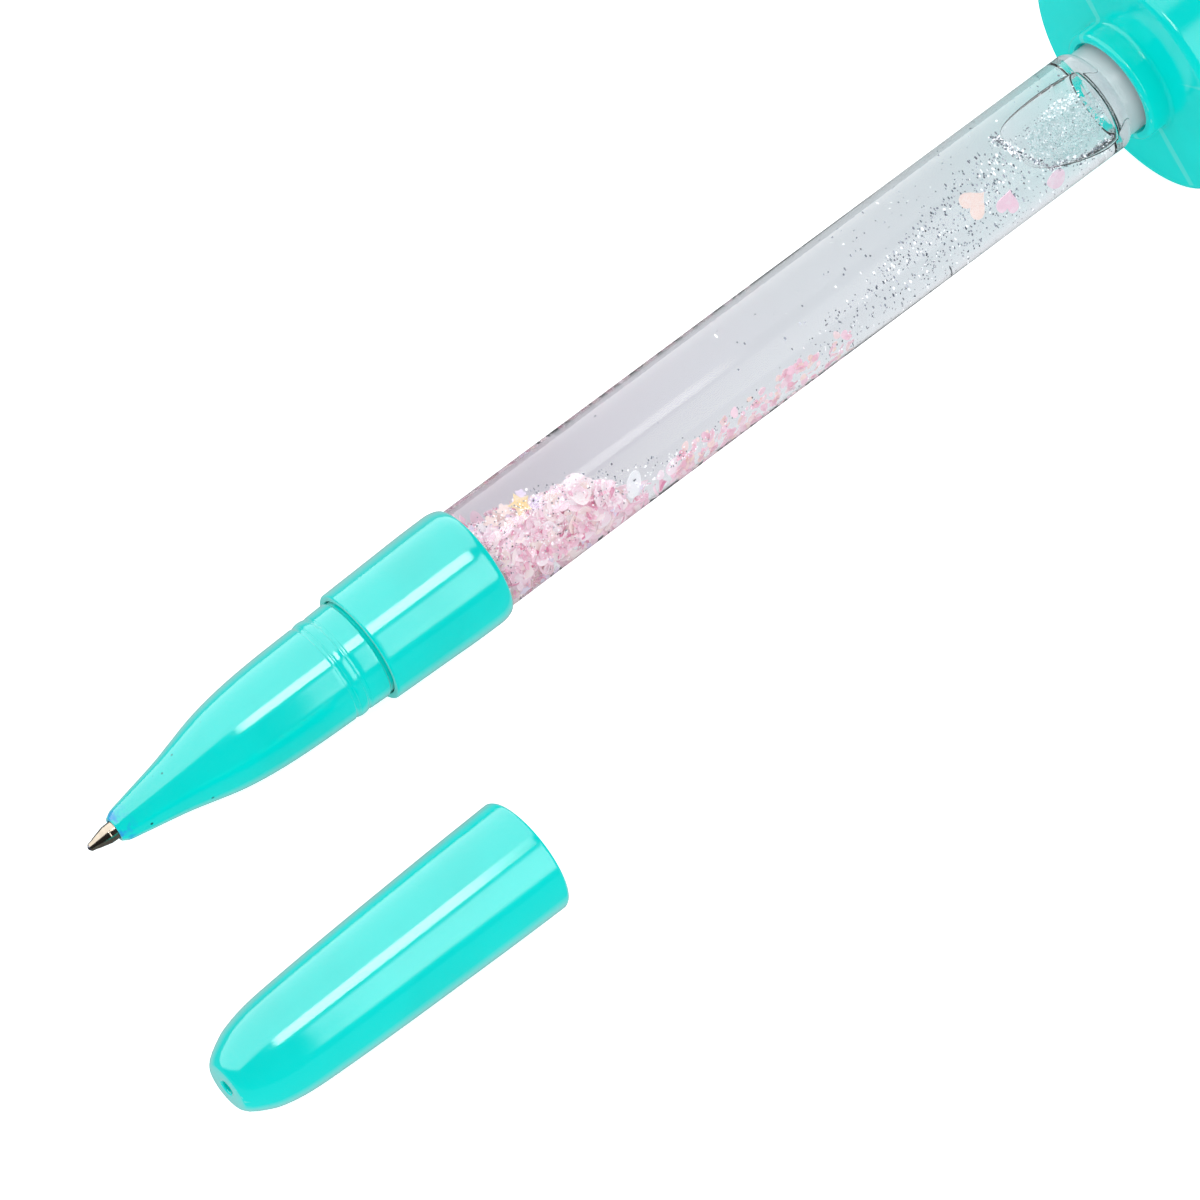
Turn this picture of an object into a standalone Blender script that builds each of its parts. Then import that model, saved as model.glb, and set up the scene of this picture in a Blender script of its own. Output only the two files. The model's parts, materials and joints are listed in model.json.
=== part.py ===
"""Gel pen with a clear liquid-filled tube, lying uncapped with its cap beside it.

The pen is drawn along its own axis: x = 0 at the front of the writing ball, and x grows
towards the topper. An empty leans that axis so that the pen rests on the front edge of its
collar and on the edge of its topper, as it does on a table. The cap has an axis of its own.

Outlines are lists of (x, radius). All lengths are millimetres until a mesh is made, where
MM turns them into metres.
"""

import math

import bmesh
import bpy
from mathutils import Matrix, Vector

MM = 0.001

# Refill
BALL_RADIUS = 0.35
TIP_SHANK_RADIUS = 1.0
INK_TUBE_FRONT_X = 13.3
INK_TUBE_REAR_X = 43.4
INK_TUBE_RADIUS = 2.3
INK_TUBE_BORE = 1.8
INK_END_X = 34.0
FOLLOWER_LENGTH = 4.5

# Nose and grip collar
NOSE_FRONT_X = 3.3
NOSE_RING_X = 31.2
NOSE_RING_RADIUS = 5.74
NOSE_REAR_X = 43.7
NOSE_SPIGOT_RADIUS = 5.55
COLLAR_FRONT_X = 34.9
COLLAR_REAR_X = 50.2
COLLAR_FRONT_RADIUS = 6.45
COLLAR_RADIUS = 6.78
COLLAR_BORE = 5.72

# Clear tube and what it holds
TUBE_FRONT_X = 45.6
TUBE_SHOULDER_X = 134.9
TUBE_RADIUS = 6.0
TUBE_BORE = 5.0
NECK_X = 136.2
NECK_REAR_X = 147.6
NECK_RADIUS = 5.4
NECK_BORE = 4.4
LIQUID_FRONT_X = 49.9
LIQUID_REAR_X = 138.9
LIQUID_RADIUS = 4.85
BUBBLE_FRONT_X = 124.0
BUBBLE_SLOPE = 0.24
BED_FRONT_HEIGHT = 1.6
BED_REAR_X = 80.0
CONTENT_GAP = 0.3

# Topper
TOPPER_RIM_X = 138.0
TOPPER_COLLAR_RADIUS = 6.7
TOPPER_FACE_X = 140.9
TOPPER_RADIUS = 15.2
TOPPER_EDGE = 0.9
TOPPER_WALL = 1.4
TOPPER_SEAM_X = 150.4
TOPPER_SEAM_GAP = 0.25
TOPPER_DOME_HEIGHT = 17.0
SOCKET_BORE = 5.6

# Cap, measured from its closed end
CAP_LENGTH = 39.05
CAP_MOUTH_RADIUS = 6.47
CAP_HOLE_RADIUS = 0.8
CAP_HEADING = 1.91
CAP_MOUTH_X = 32.36
CAP_MOUTH_Y = -30.07

# Larger sequins
SEQUIN_THICKNESS = 0.25
SEQUIN_DEPTH = 4.32
POCKET_CLEARANCE = 0.35

# Facets round each piece, each a multiple of four so that one corner points straight down
SHELL_FACETS = 36
TUBE_FACETS = 32
REFILL_FACETS = 20

TURQUOISE = (0.02, 0.79, 0.69)
CLEAR = (0.86, 0.88, 0.93)


# ---------------------------------------------------------------- outlines

def smooth(points, step):
    """A smooth curve through the given (x, radius) points, about one point for each step."""
    slopes = []
    for index in range(len(points)):
        before = points[max(index - 1, 0)]
        after = points[min(index + 1, len(points) - 1)]
        slopes.append((after[1] - before[1]) / (after[0] - before[0]))
    curve = []
    for index in range(len(points) - 1):
        x0, r0 = points[index]
        x1, r1 = points[index + 1]
        length = x1 - x0
        pieces = max(1, round(length / step))
        for piece in range(pieces):
            t = piece / pieces
            start_bend = t * (1.0 - t) ** 2 * length * slopes[index]
            end_bend = t ** 2 * (t - 1.0) * length * slopes[index + 1]
            blend = t ** 2 * (3.0 - 2.0 * t)
            curve.append((x0 + t * length, r0 + (r1 - r0) * blend + start_bend + end_bend))
    curve.append(points[-1])
    return curve


def arc(centre, size_x, size_r, start, end, steps):
    """An elliptical arc; angles in degrees, 0 along +x and 90 straight out from the axis."""
    points = []
    for index in range(steps + 1):
        angle = math.radians(start + (end - start) * index / steps)
        points.append((centre[0] + size_x * math.cos(angle), centre[1] + size_r * math.sin(angle)))
    return points


def nose_surface():
    """The ogee outside of the nose, from its end face to the grip collar."""
    belly_radius = 5.64
    ogee = [(3.35, 1.4), (4.0, 1.76), (5.4, 2.06), (8.9, 2.73), (10.9, 3.14), (12.8, 3.63), (16.6, 4.58),
            (20.5, 5.16), (25.0, 5.48), (30.4, belly_radius)]
    ring = arc((NOSE_RING_X, belly_radius), 0.55, NOSE_RING_RADIUS - belly_radius, 180.0, 0.0, 4)
    return smooth(ogee, 2.3) + ring + [(34.5, 5.75)]


def collar_surface():
    """The outside of the grip collar, with its rounded rear rim."""
    swell = smooth([(35.05, COLLAR_FRONT_RADIUS), (41.0, 6.62), (45.4, 6.75), (48.4, COLLAR_RADIUS)], 3.5)
    rim = arc((48.4, 6.15), COLLAR_REAR_X - 48.4, COLLAR_RADIUS - 6.15, 70.0, 0.0, 4)
    return [(COLLAR_FRONT_X, COLLAR_FRONT_RADIUS - 0.12)] + swell + rim


def topper_side():
    """The topper's outside, from its flat underside round its edge to the seam."""
    flat_radius = TOPPER_RADIUS - TOPPER_EDGE
    edge = arc((TOPPER_FACE_X + TOPPER_EDGE, flat_radius), TOPPER_EDGE, TOPPER_EDGE, 180.0, 90.0, 5)
    return edge + [(TOPPER_SEAM_X, TOPPER_RADIUS)]


def cap_surface():
    """The cap's outside, from the edge of its closed end to its mouth."""
    nose = [(0.0, 2.55), (0.6, 3.25), (1.7, 3.97), (3.4, 4.72), (6.4, 5.33), (11.0, 5.65),
            (18.0, 5.94), (25.0, 6.15), (32.0, 6.34), (38.75, CAP_MOUTH_RADIUS)]
    return smooth(nose, 2.6)


# ---------------------------------------------------------------- resting on the table

def resting_lean(outline, pivot):
    """The lean, in radians, that lets the outline's far end touch the table with the pivot."""
    return max(math.atan2(r - pivot[1], x - pivot[0]) for x, r in outline)


def resting_height(outline, lean):
    """The height of the axis at x = 0 that puts the outline's lowest point on the table."""
    return max(r * math.cos(lean) - x * math.sin(lean) for x, r in outline)


# ---------------------------------------------------------------- meshes and objects

def material(name, colour, roughness, metallic=0.0, transmission=0.0):
    """A Principled material, made once for each name."""
    made = bpy.data.materials.get(name)
    if made is None:
        made = bpy.data.materials.new(name)
        made.use_nodes = True
        shader = made.node_tree.nodes["Principled BSDF"]
        shader.inputs["Base Color"].default_value = (*colour, 1.0)
        shader.inputs["Roughness"].default_value = roughness
        shader.inputs["Metallic"].default_value = metallic
        shader.inputs["Transmission Weight"].default_value = transmission
    return made


def plastic():
    return material("turquoise_plastic", TURQUOISE, 0.22)


def plug_plastic():
    return material("plug_plastic", (0.6, 0.64, 0.65), 0.45)


def empty(name, parent=None, location=(0.0, 0.0, 0.0), rotation=(0.0, 0.0, 0.0)):
    """An empty that carries the pieces of one axis; the location is in millimetres."""
    carrier = bpy.data.objects.new(name, None)
    bpy.context.collection.objects.link(carrier)
    carrier.parent = parent
    carrier.location = Vector(location) * MM
    carrier.rotation_euler = rotation
    return carrier


def revolved(outline, facets, origin=0.0):
    """A closed bmesh turned from the outline about the x axis, starting straight down."""
    body = bmesh.new()
    ring = [body.verts.new(((x - origin) * MM, 0.0, -r * MM)) for x, r in outline]
    edges = [body.edges.new(pair) for pair in zip(ring, ring[1:])]
    if outline[0][1] > 0.0:
        edges.append(body.edges.new((ring[-1], ring[0])))
    bmesh.ops.spin(body, geom=ring + edges, axis=(1.0, 0.0, 0.0), cent=(0.0, 0.0, 0.0),
                   angle=math.tau, steps=facets, use_merge=True)
    bmesh.ops.remove_doubles(body, verts=body.verts, dist=0.0001 * MM)
    bmesh.ops.recalc_face_normals(body, faces=body.faces)
    return body


def slice_off(body, point, normal):
    """Cuts a bmesh with a plane, drops the side that the normal points to and closes the cut."""
    everything = body.verts[:] + body.edges[:] + body.faces[:]
    cut = bmesh.ops.bisect_plane(body, geom=everything, plane_co=Vector(point) * MM,
                                 plane_no=normal, clear_outer=True)
    rim = [item for item in cut["geom_cut"] if isinstance(item, bmesh.types.BMEdge)]
    bmesh.ops.holes_fill(body, edges=rim, sides=0)
    bmesh.ops.recalc_face_normals(body, faces=body.faces)


def piece(name, body, look, parent, location=(0.0, 0.0, 0.0)):
    """Makes the named object from a bmesh; the location is in millimetres."""
    mesh = bpy.data.meshes.new(name)
    body.to_mesh(mesh)
    body.free()
    mesh.shade_smooth()
    mesh.set_sharp_from_angle(angle=math.radians(32.0))
    mesh.materials.append(look)
    made = bpy.data.objects.new(name, mesh)
    bpy.context.collection.objects.link(made)
    made.parent = parent
    made.location = Vector(location) * MM
    return made


def turned(name, outline, look, parent, facets, origin=0.0):
    """A turned piece on its parent's axis; origin is the parent's place along that axis."""
    return piece(name, revolved(outline, facets, origin), look, parent)


# ---------------------------------------------------------------- refill

def nib_ball(parent, origin):
    body = bmesh.new()
    bmesh.ops.create_uvsphere(body, u_segments=16, v_segments=10, radius=BALL_RADIUS * MM)
    steel = material("ball_steel", (0.75, 0.75, 0.76), 0.15, 1.0)
    return piece("nib_ball", body, steel, parent, (BALL_RADIUS - origin, 0.0, 0.0))


def nib_tip(parent, origin):
    """Metal cone and shank; its bore carries ink to the ball, which its lip holds in."""
    outside = [(0.2, 0.4), (0.3, 0.44), (2.5, TIP_SHANK_RADIUS), (6.9, TIP_SHANK_RADIUS),
               (6.95, 0.85), (10.4, 0.85)]
    ink_way = [(10.4, 0.5), (3.0, 0.5), (2.6, 0.2), (0.85, 0.2), (0.78, 0.385), (0.32, 0.385), (0.2, 0.342)]
    metal = material("nickel_silver", (0.62, 0.58, 0.52), 0.25, 1.0)
    return turned("nib_tip", outside + ink_way, metal, parent, REFILL_FACETS, origin)


def tip_holder(parent, origin):
    """Plastic adapter between the metal tip and the ink tube, with the flange that seats it."""
    outside = [(7.15, 1.3), (8.5, 1.95), (12.2, 1.95), (12.25, 2.3), (13.0, 2.3), (13.05, 1.72), (16.3, 1.72)]
    bore = [(16.3, 0.7), (10.7, 0.7), (10.7, 0.92), (7.15, 0.92)]
    white = material("white_plastic", (0.85, 0.86, 0.84), 0.4)
    return turned("tip_holder", outside + bore, white, parent, REFILL_FACETS, origin)


def ink_tube(parent, origin):
    wall = [(INK_TUBE_FRONT_X, INK_TUBE_RADIUS), (INK_TUBE_REAR_X, INK_TUBE_RADIUS),
            (INK_TUBE_REAR_X, INK_TUBE_BORE), (INK_TUBE_FRONT_X, INK_TUBE_BORE)]
    milky = material("refill_tube", (0.8, 0.84, 0.85), 0.3, 0.0, 0.6)
    return turned("ink_tube", wall, milky, parent, REFILL_FACETS, origin)


def ink_column(name, start, end, look, parent, origin):
    """A solid plug of ink or grease inside the ink tube."""
    radius = INK_TUBE_BORE - 0.1
    column = [(start, 0.0), (start, radius), (end, radius), (end, 0.0)]
    return turned(name, column, look, parent, REFILL_FACETS, origin)


# ---------------------------------------------------------------- nose and collar

def nose_cone(parent, origin):
    """Shell with a bore for the tip, a seat for the refill's flange and a rear spigot."""
    end_face = [(NOSE_FRONT_X, 1.06), (NOSE_FRONT_X, 1.3)]
    spigot = [(COLLAR_FRONT_X - 0.3, NOSE_SPIGOT_RADIUS), (NOSE_REAR_X - 0.4, NOSE_SPIGOT_RADIUS),
              (NOSE_REAR_X, 5.2)]
    cavity = [(NOSE_REAR_X, 4.5), (31.0, 4.5), (24.0, 3.6), (21.0, 2.6), (12.02, 2.6), (12.0, 2.12),
              (8.4, 2.12), (7.1, 1.5), (6.6, 1.06)]
    outline = end_face + nose_surface() + spigot + cavity
    return turned("nose_cone", outline, plastic(), parent, SHELL_FACETS, origin)


def grip_collar(parent):
    sockets = [(COLLAR_REAR_X, 6.1), (44.0, 6.1), (44.0, COLLAR_BORE), (COLLAR_FRONT_X, COLLAR_BORE)]
    return turned("grip_collar", collar_surface() + sockets, plastic(), parent, SHELL_FACETS)


# ---------------------------------------------------------------- clear tube and contents

def liquid_tube(parent):
    """Clear tube, open at the front, with a rounded shoulder and a narrower neck behind."""
    rounding = TUBE_RADIUS - NECK_RADIUS
    shoulder = arc((NECK_X - 1.0, NECK_RADIUS), 0.9, rounding, 90.0, 0.0, 4)
    outside = [(TUBE_FRONT_X, TUBE_RADIUS)] + shoulder + [(NECK_X, NECK_RADIUS), (NECK_REAR_X, NECK_RADIUS)]
    inside = [(NECK_REAR_X, NECK_BORE), (TUBE_SHOULDER_X + 1.2, NECK_BORE), (TUBE_SHOULDER_X, TUBE_BORE),
              (TUBE_FRONT_X, TUBE_BORE)]
    clear = material("clear_plastic", CLEAR, 0.05, 0.0, 1.0)
    return turned("liquid_tube", outside + inside, clear, parent, TUBE_FACETS)


def tube_end_plug(parent):
    """Closes the tube's front end; its front face is the refill's rear stop."""
    outline = [(44.2, 0.0), (44.2, 5.9), (45.3, 5.9), (45.3, 4.9), (49.6, 4.9), (49.6, 0.0)]
    return turned("tube_end_plug", outline, plug_plastic(), parent, TUBE_FACETS)


def neck_plug(parent):
    """Stopper in the tube's neck; its front face closes the liquid in."""
    flange_x = NECK_REAR_X + CONTENT_GAP
    front_x = LIQUID_REAR_X + CONTENT_GAP
    outline = [(front_x, 0.0), (front_x, 4.1), (front_x + 0.2, 4.25), (flange_x, 4.25), (flange_x, 5.3),
               (flange_x + 1.0, 5.3), (flange_x + 1.0, 0.0)]
    return turned("neck_plug", outline, plug_plastic(), parent, TUBE_FACETS)


def bed_surface():
    """A point and the upward normal of the settled heap's sloping top."""
    drop = BED_FRONT_HEIGHT + LIQUID_RADIUS
    normal = Vector((drop, 0.0, BED_REAR_X - LIQUID_FRONT_X)).normalized()
    return Vector((LIQUID_FRONT_X, 0.0, BED_FRONT_HEIGHT)), normal


def confetti_bed(parent):
    """Closed stand-in for the heap of loose flakes at the front of the tube."""
    column = [(LIQUID_FRONT_X, 0.0), (LIQUID_FRONT_X, LIQUID_RADIUS), (BED_REAR_X, LIQUID_RADIUS),
              (BED_REAR_X, 0.0)]
    body = revolved(column, TUBE_FACETS)
    point, normal = bed_surface()
    slice_off(body, point, normal)
    return piece("confetti_bed", body, material("confetti_pink", (0.86, 0.55, 0.68), 0.4), parent)


def liquid_fill(parent):
    """The liquid above the heap; the air bubble is the wedge cut from its top rear corner."""
    neck_radius = NECK_BORE - 0.2
    column = [(LIQUID_FRONT_X, 0.0), (LIQUID_FRONT_X, LIQUID_RADIUS), (TUBE_SHOULDER_X - 0.2, LIQUID_RADIUS),
              (TUBE_SHOULDER_X + 1.0, neck_radius), (LIQUID_REAR_X, neck_radius), (LIQUID_REAR_X, 0.0)]
    body = revolved(column, TUBE_FACETS)
    point, normal = bed_surface()
    slice_off(body, point + normal * CONTENT_GAP, -normal)
    slice_off(body, (BUBBLE_FRONT_X, 0.0, LIQUID_RADIUS), Vector((BUBBLE_SLOPE, 0.0, 1.0)).normalized())
    return piece("liquid_fill", body, material("clear_liquid", (0.9, 0.92, 0.95), 0.02, 0.0, 1.0), parent)


def star_outline(size):
    """Five-pointed star with broad arms."""
    points = []
    for index in range(10):
        radius = size if index % 2 == 0 else size * 0.52
        angle = math.tau * index / 10
        points.append((radius * math.cos(angle), radius * math.sin(angle)))
    return points


def heart_outline(size):
    points = []
    for index in range(20):
        angle = math.tau * index / 20
        across = 16.0 * math.sin(angle) ** 3
        along = 13.0 * math.cos(angle) - 5.0 * math.cos(2 * angle) - 2.0 * math.cos(3 * angle)
        along -= math.cos(4 * angle)
        points.append((along * size / 17.0, across * size / 17.0))
    return points


def oval_outline(size):
    points = []
    for index in range(16):
        angle = math.tau * index / 16
        points.append((size * math.cos(angle), 0.66 * size * math.sin(angle)))
    return points


def petal_outline(size):
    """Oval drawn to a point at one end."""
    points = []
    for index in range(16):
        angle = math.tau * index / 16
        half_width = 0.75 * size * (1.0 - 0.35 * math.cos(angle))
        points.append((size * math.cos(angle), half_width * math.sin(angle)))
    return points


def sequin(name, outline, colour, parent, place, facing, turn):
    """Thin flat flake centred on place, with its face along facing and turned in its own plane."""
    body = bmesh.new()
    half = SEQUIN_THICKNESS / 2
    face = body.faces.new([body.verts.new((x * MM, y * MM, -half * MM)) for x, y in outline])
    lifted = bmesh.ops.extrude_face_region(body, geom=[face])
    top = [item for item in lifted["geom"] if isinstance(item, bmesh.types.BMVert)]
    bmesh.ops.translate(body, verts=top, vec=(0.0, 0.0, SEQUIN_THICKNESS * MM))
    bmesh.ops.recalc_face_normals(body, faces=body.faces)
    made = piece(name, body, material(name, colour, 0.35), parent, place)
    in_plane = Matrix.Rotation(turn, 3, "Z").to_quaternion()
    made.rotation_euler = (facing.to_track_quat("Z", "X") @ in_plane).to_euler()
    return made


def pocket(cutters, place, facing, radius):
    """Adds to the cutters a cylinder that opens a pocket from place out to the liquid's skin."""
    depth = 3.0
    inner = SEQUIN_THICKNESS / 2 + POCKET_CLEARANCE
    middle = (place + facing * (depth / 2 - inner)) * MM
    frame = Matrix.Translation(middle) @ facing.to_track_quat("Z", "X").to_matrix().to_4x4()
    bmesh.ops.create_cone(cutters, cap_ends=True, segments=16, radius1=radius * MM, radius2=radius * MM,
                          depth=depth * MM, matrix=frame)


def sequins(parent, liquid):
    """The larger sequins, each in a pocket of the liquid that is open on its outer side."""
    cutters = bmesh.new()
    pink = (0.9, 0.5, 0.68)
    peach = (0.95, 0.62, 0.5)
    on_wall = (("peach_heart", heart_outline(1.25), peach, 117.0, 15.0, 0.5),
               ("pink_heart", heart_outline(1.3), pink, 120.6, 3.0, 2.4),
               ("pink_petal", petal_outline(1.2), pink, 127.2, -4.0, 1.2))
    for name, outline, colour, x, side, turn in on_wall:
        angle = math.radians(side)
        facing = Vector((0.0, math.sin(angle), -math.cos(angle)))
        place = Vector((x, 0.0, 0.0)) + facing * SEQUIN_DEPTH
        sequin(name, outline, colour, parent, place, facing, turn)
        pocket(cutters, place, facing, 1.7)
    point, normal = bed_surface()
    lift = CONTENT_GAP + SEQUIN_THICKNESS / 2
    on_bed = (("star_sequin", star_outline(1.5), (0.93, 0.66, 0.28), 56.4, 1.2, 0.3),
              ("shell_sequin", oval_outline(1.3), (0.88, 0.87, 0.9), 68.4, -1.0, 0.9))
    for name, outline, colour, x, y, turn in on_bed:
        height = point.z - (x - point.x) * normal.x / normal.z
        place = Vector((x, y, height)) + normal * lift
        sequin(name, outline, colour, parent, place, normal, turn)
        pocket(cutters, place, -normal, 1.9)
    tool = piece("pocket_cutters", cutters, liquid.active_material, parent)
    tool.hide_render = True
    tool.display_type = "WIRE"
    cut = liquid.modifiers.new("pockets", "BOOLEAN")
    cut.operation = "DIFFERENCE"
    cut.object = tool


# ---------------------------------------------------------------- topper

def topper_base(parent):
    """Cup with a rounded collar round the neck, a flat underside and a socket inside."""
    rim = arc((TOPPER_RIM_X + 0.55, 6.15), 0.55, TOPPER_COLLAR_RADIUS - 6.15, 180.0, 90.0, 3)
    fillet = arc((TOPPER_FACE_X - 0.4, TOPPER_COLLAR_RADIUS + 0.4), 0.4, 0.4, 270.0, 360.0, 2)
    inner_radius = TOPPER_RADIUS - TOPPER_WALL
    floor_x = TOPPER_FACE_X + TOPPER_WALL
    inside = [(TOPPER_SEAM_X, inner_radius), (floor_x + 1.4, inner_radius), (floor_x, inner_radius - 1.4),
              (floor_x, 7.0), (NECK_REAR_X, 7.0), (NECK_REAR_X, SOCKET_BORE),
              (TOPPER_RIM_X + 1.0, SOCKET_BORE)]
    outline = rim + fillet + topper_side() + inside
    return turned("topper_base", outline, plastic(), parent, SHELL_FACETS)


def topper_dome(parent):
    """Domed shell with a lip that fits inside the base."""
    start = TOPPER_SEAM_X + TOPPER_SEAM_GAP
    lip_radius = TOPPER_RADIUS - TOPPER_WALL - 0.25
    inner_radius = TOPPER_RADIUS - 2 * TOPPER_WALL
    outside = arc((start, 0.0), TOPPER_DOME_HEIGHT, TOPPER_RADIUS, 90.0, 0.0, 9)
    inside = arc((start, 0.0), TOPPER_DOME_HEIGHT - TOPPER_WALL, inner_radius, 0.0, 90.0, 7)
    outside[-1] = (start + TOPPER_DOME_HEIGHT, 0.0)
    inside[0] = (start + TOPPER_DOME_HEIGHT - TOPPER_WALL, 0.0)
    lip = [(start - 2.0, inner_radius), (start - 2.0, lip_radius), (start, lip_radius)]
    outline = outside[::-1] + lip[::-1] + inside[::-1]
    return turned("topper_dome", outline, plastic(), parent, SHELL_FACETS)


# ---------------------------------------------------------------- cap

def cap_shell(parent):
    """Tapered cap, open at its mouth, with a small hole through its flat closed end."""
    lip = [(CAP_LENGTH, CAP_MOUTH_RADIUS - 0.25), (CAP_LENGTH, 5.88)]
    inside = [(34.6, 5.86), (33.0, 5.74), (25.0, 5.3), (14.5, 4.9), (8.0, 4.45), (3.5, 3.85), (1.5, 2.5),
              (1.4, CAP_HOLE_RADIUS), (0.0, CAP_HOLE_RADIUS)]
    return turned("cap_shell", cap_surface() + lip + inside, plastic(), parent, SHELL_FACETS)


def cap_inner_sleeve(parent):
    """Soft sleeve that closes round the nose when the cap is on."""
    outline = [(3.3, 3.3), (6.6, 3.3), (6.7, 4.2), (7.5, 4.2), (7.6, 3.3), (12.4, 3.3), (12.4, 2.75),
               (3.3, 2.6)]
    soft = material("sleeve_plastic", (0.75, 0.86, 0.84), 0.5)
    return turned("cap_inner_sleeve", outline, soft, parent, REFILL_FACETS)


# ---------------------------------------------------------------- assembly

def clear_scene():
    for old in list(bpy.data.objects):
        bpy.data.objects.remove(old, do_unlink=True)


def build_pen(root):
    """The pen on its leaning axis; the nose and the refill have empties of their own on it."""
    collar_front_edge = collar_surface()[1]
    lean = resting_lean(topper_side(), collar_front_edge)
    height = resting_height(collar_surface() + topper_side(), lean)
    axis = empty("pen_axis", root, (0.0, 0.0, height), (0.0, -lean, 0.0))

    nose = empty("nose_section", axis, (COLLAR_FRONT_X, 0.0, 0.0))
    nose_cone(nose, COLLAR_FRONT_X)
    refill = empty("refill", nose)
    nib_ball(refill, COLLAR_FRONT_X)
    nib_tip(refill, COLLAR_FRONT_X)
    tip_holder(refill, COLLAR_FRONT_X)
    ink_tube(refill, COLLAR_FRONT_X)
    ink = material("blue_ink", (0.02, 0.09, 0.55), 0.3)
    grease = material("ink_grease", (0.8, 0.78, 0.6), 0.2)
    ink_column("gel_ink", 16.6, INK_END_X, ink, refill, COLLAR_FRONT_X)
    follower_start = INK_END_X + CONTENT_GAP
    follower_end = follower_start + FOLLOWER_LENGTH
    ink_column("ink_follower", follower_start, follower_end, grease, refill, COLLAR_FRONT_X)

    grip_collar(axis)
    liquid_tube(axis)
    tube_end_plug(axis)
    neck_plug(axis)
    confetti_bed(axis)
    liquid = liquid_fill(axis)
    sequins(axis, liquid)
    topper_base(axis)
    topper_dome(axis)


def build_cap(root):
    """The cap lying on its taper beside the nose, its mouth level with the collar's front."""
    outline = cap_surface()
    side = [point for point in outline if point[0] >= 18.0]
    lean = math.atan2(side[-1][1] - side[0][1], side[-1][0] - side[0][0])
    height = resting_height(outline, lean)
    heading = math.radians(CAP_HEADING)
    back = CAP_LENGTH * math.cos(lean)
    closed_end = (CAP_MOUTH_X - back * math.cos(heading), CAP_MOUTH_Y - back * math.sin(heading), height)
    axis = empty("cap_axis", root, closed_end, (0.0, -lean, heading))
    cap_shell(axis)
    cap_inner_sleeve(axis)


def centre_on_table(root):
    """Moves the root so that the origin lies on the table under the middle of the whole."""
    bpy.context.view_layer.update()
    corners = []
    for item in bpy.data.objects:
        if item.type == "MESH" and not item.hide_render:
            corners += [item.matrix_world @ vertex.co for vertex in item.data.vertices]
    for side in (0, 1):
        values = [corner[side] for corner in corners]
        root.location[side] -= (min(values) + max(values)) / 2


clear_scene()
table_origin = empty("gel_pen")
build_pen(table_origin)
build_cap(table_origin)
centre_on_table(table_origin)
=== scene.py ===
"""Looks of a gel pen with a clear liquid-filled tube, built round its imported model.

The pen and its cap are turned on axes of their own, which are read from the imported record: x = 0 at
the front of the writing ball (or at the cap's closed end), and x grows along the axis. Outlines are
lists of (x, radius). Lengths are millimetres until a mesh is made, where MM turns them into metres.

Directions round the pen are given by their turn, in degrees: 0 faces the main camera and 90 is the
pen's lower right side as that camera sees it.
"""

import json
import math
import random

import bmesh
import bpy
from mathutils import Matrix, Vector, noise


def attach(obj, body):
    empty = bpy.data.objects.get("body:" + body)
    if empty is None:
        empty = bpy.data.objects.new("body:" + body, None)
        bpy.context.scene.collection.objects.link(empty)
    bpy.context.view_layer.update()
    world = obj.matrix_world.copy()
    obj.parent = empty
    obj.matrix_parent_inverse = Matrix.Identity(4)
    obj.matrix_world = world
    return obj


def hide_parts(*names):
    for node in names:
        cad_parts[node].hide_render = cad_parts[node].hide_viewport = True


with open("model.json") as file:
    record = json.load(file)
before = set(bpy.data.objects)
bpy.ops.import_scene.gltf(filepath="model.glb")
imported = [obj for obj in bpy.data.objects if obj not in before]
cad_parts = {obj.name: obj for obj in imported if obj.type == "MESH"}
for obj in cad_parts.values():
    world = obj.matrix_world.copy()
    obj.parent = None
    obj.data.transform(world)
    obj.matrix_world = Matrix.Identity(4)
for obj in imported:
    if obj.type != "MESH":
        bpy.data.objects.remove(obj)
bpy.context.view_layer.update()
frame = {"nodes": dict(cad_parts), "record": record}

MM = 0.001

# Camera
CAMERA_LENS = 180.7
CAMERA_ELEVATION = 56.453
CAMERA_HEADING = 50.21
CAMERA_DISTANCE = 0.62483
CAMERA_TARGET = (60.14, -7.999)

# Radii and stations of the pen, as in its frame
BALL_RADIUS = 0.35
COLLAR_FRONT_X = 34.9
COLLAR_REAR_X = 50.2
COLLAR_RADIUS = 6.78
TUBE_RADIUS = 6.0
TUBE_BORE = 5.0
TUBE_FRONT_X = 45.6
TUBE_SHOULDER_X = 134.9
NECK_X = 136.2
NECK_REAR_X = 147.6
NECK_RADIUS = 5.4
NECK_BORE = 4.4
LIQUID_FRONT_X = 49.85
LIQUID_REAR_X = 139.05
PLUG_FACE_X = 136.3
BUBBLE_FRONT_X = 122.9
TOPPER_RIM_X = 138.0
TOPPER_FACE_X = 140.9
TOPPER_RADIUS = 15.2
TOPPER_SEAM_X = 150.4
TOPPER_DOME_HEIGHT = 17.0
TOPPER_WALL = 1.4
CAP_LENGTH = 39.05
CAP_MOUTH_RADIUS = 6.47
FLAKE_REACH = 4.86
HEAP_SKIN_RADIUS = 4.82
FLECK_THICKNESS = 0.02
SEQUIN_THICKNESS = 0.14
SEQUIN_CUP = 0.04
GOLD_STAR = (56.4, -1.8)
PEARL_OVAL = (67.7, 3.4)
PEN_MIDDLE_X = 60.0

# Looks
FACETS = 144
TURQUOISE = (0.0, 0.81, 0.74)
PLASTIC_INDEX = 1.5
LIQUID_INDEX = 1.4


# -------- axes

def upright(origin, along):
    """The matrix, in metres, of an axis that starts at origin and whose y direction is level."""
    x = Vector(along).normalized()
    y = Vector((0.0, 0.0, 1.0)).cross(x).normalized()
    z = x.cross(y)
    turned = Matrix((x, y, z)).transposed().to_4x4()
    return Matrix.Translation(origin) @ turned


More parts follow.
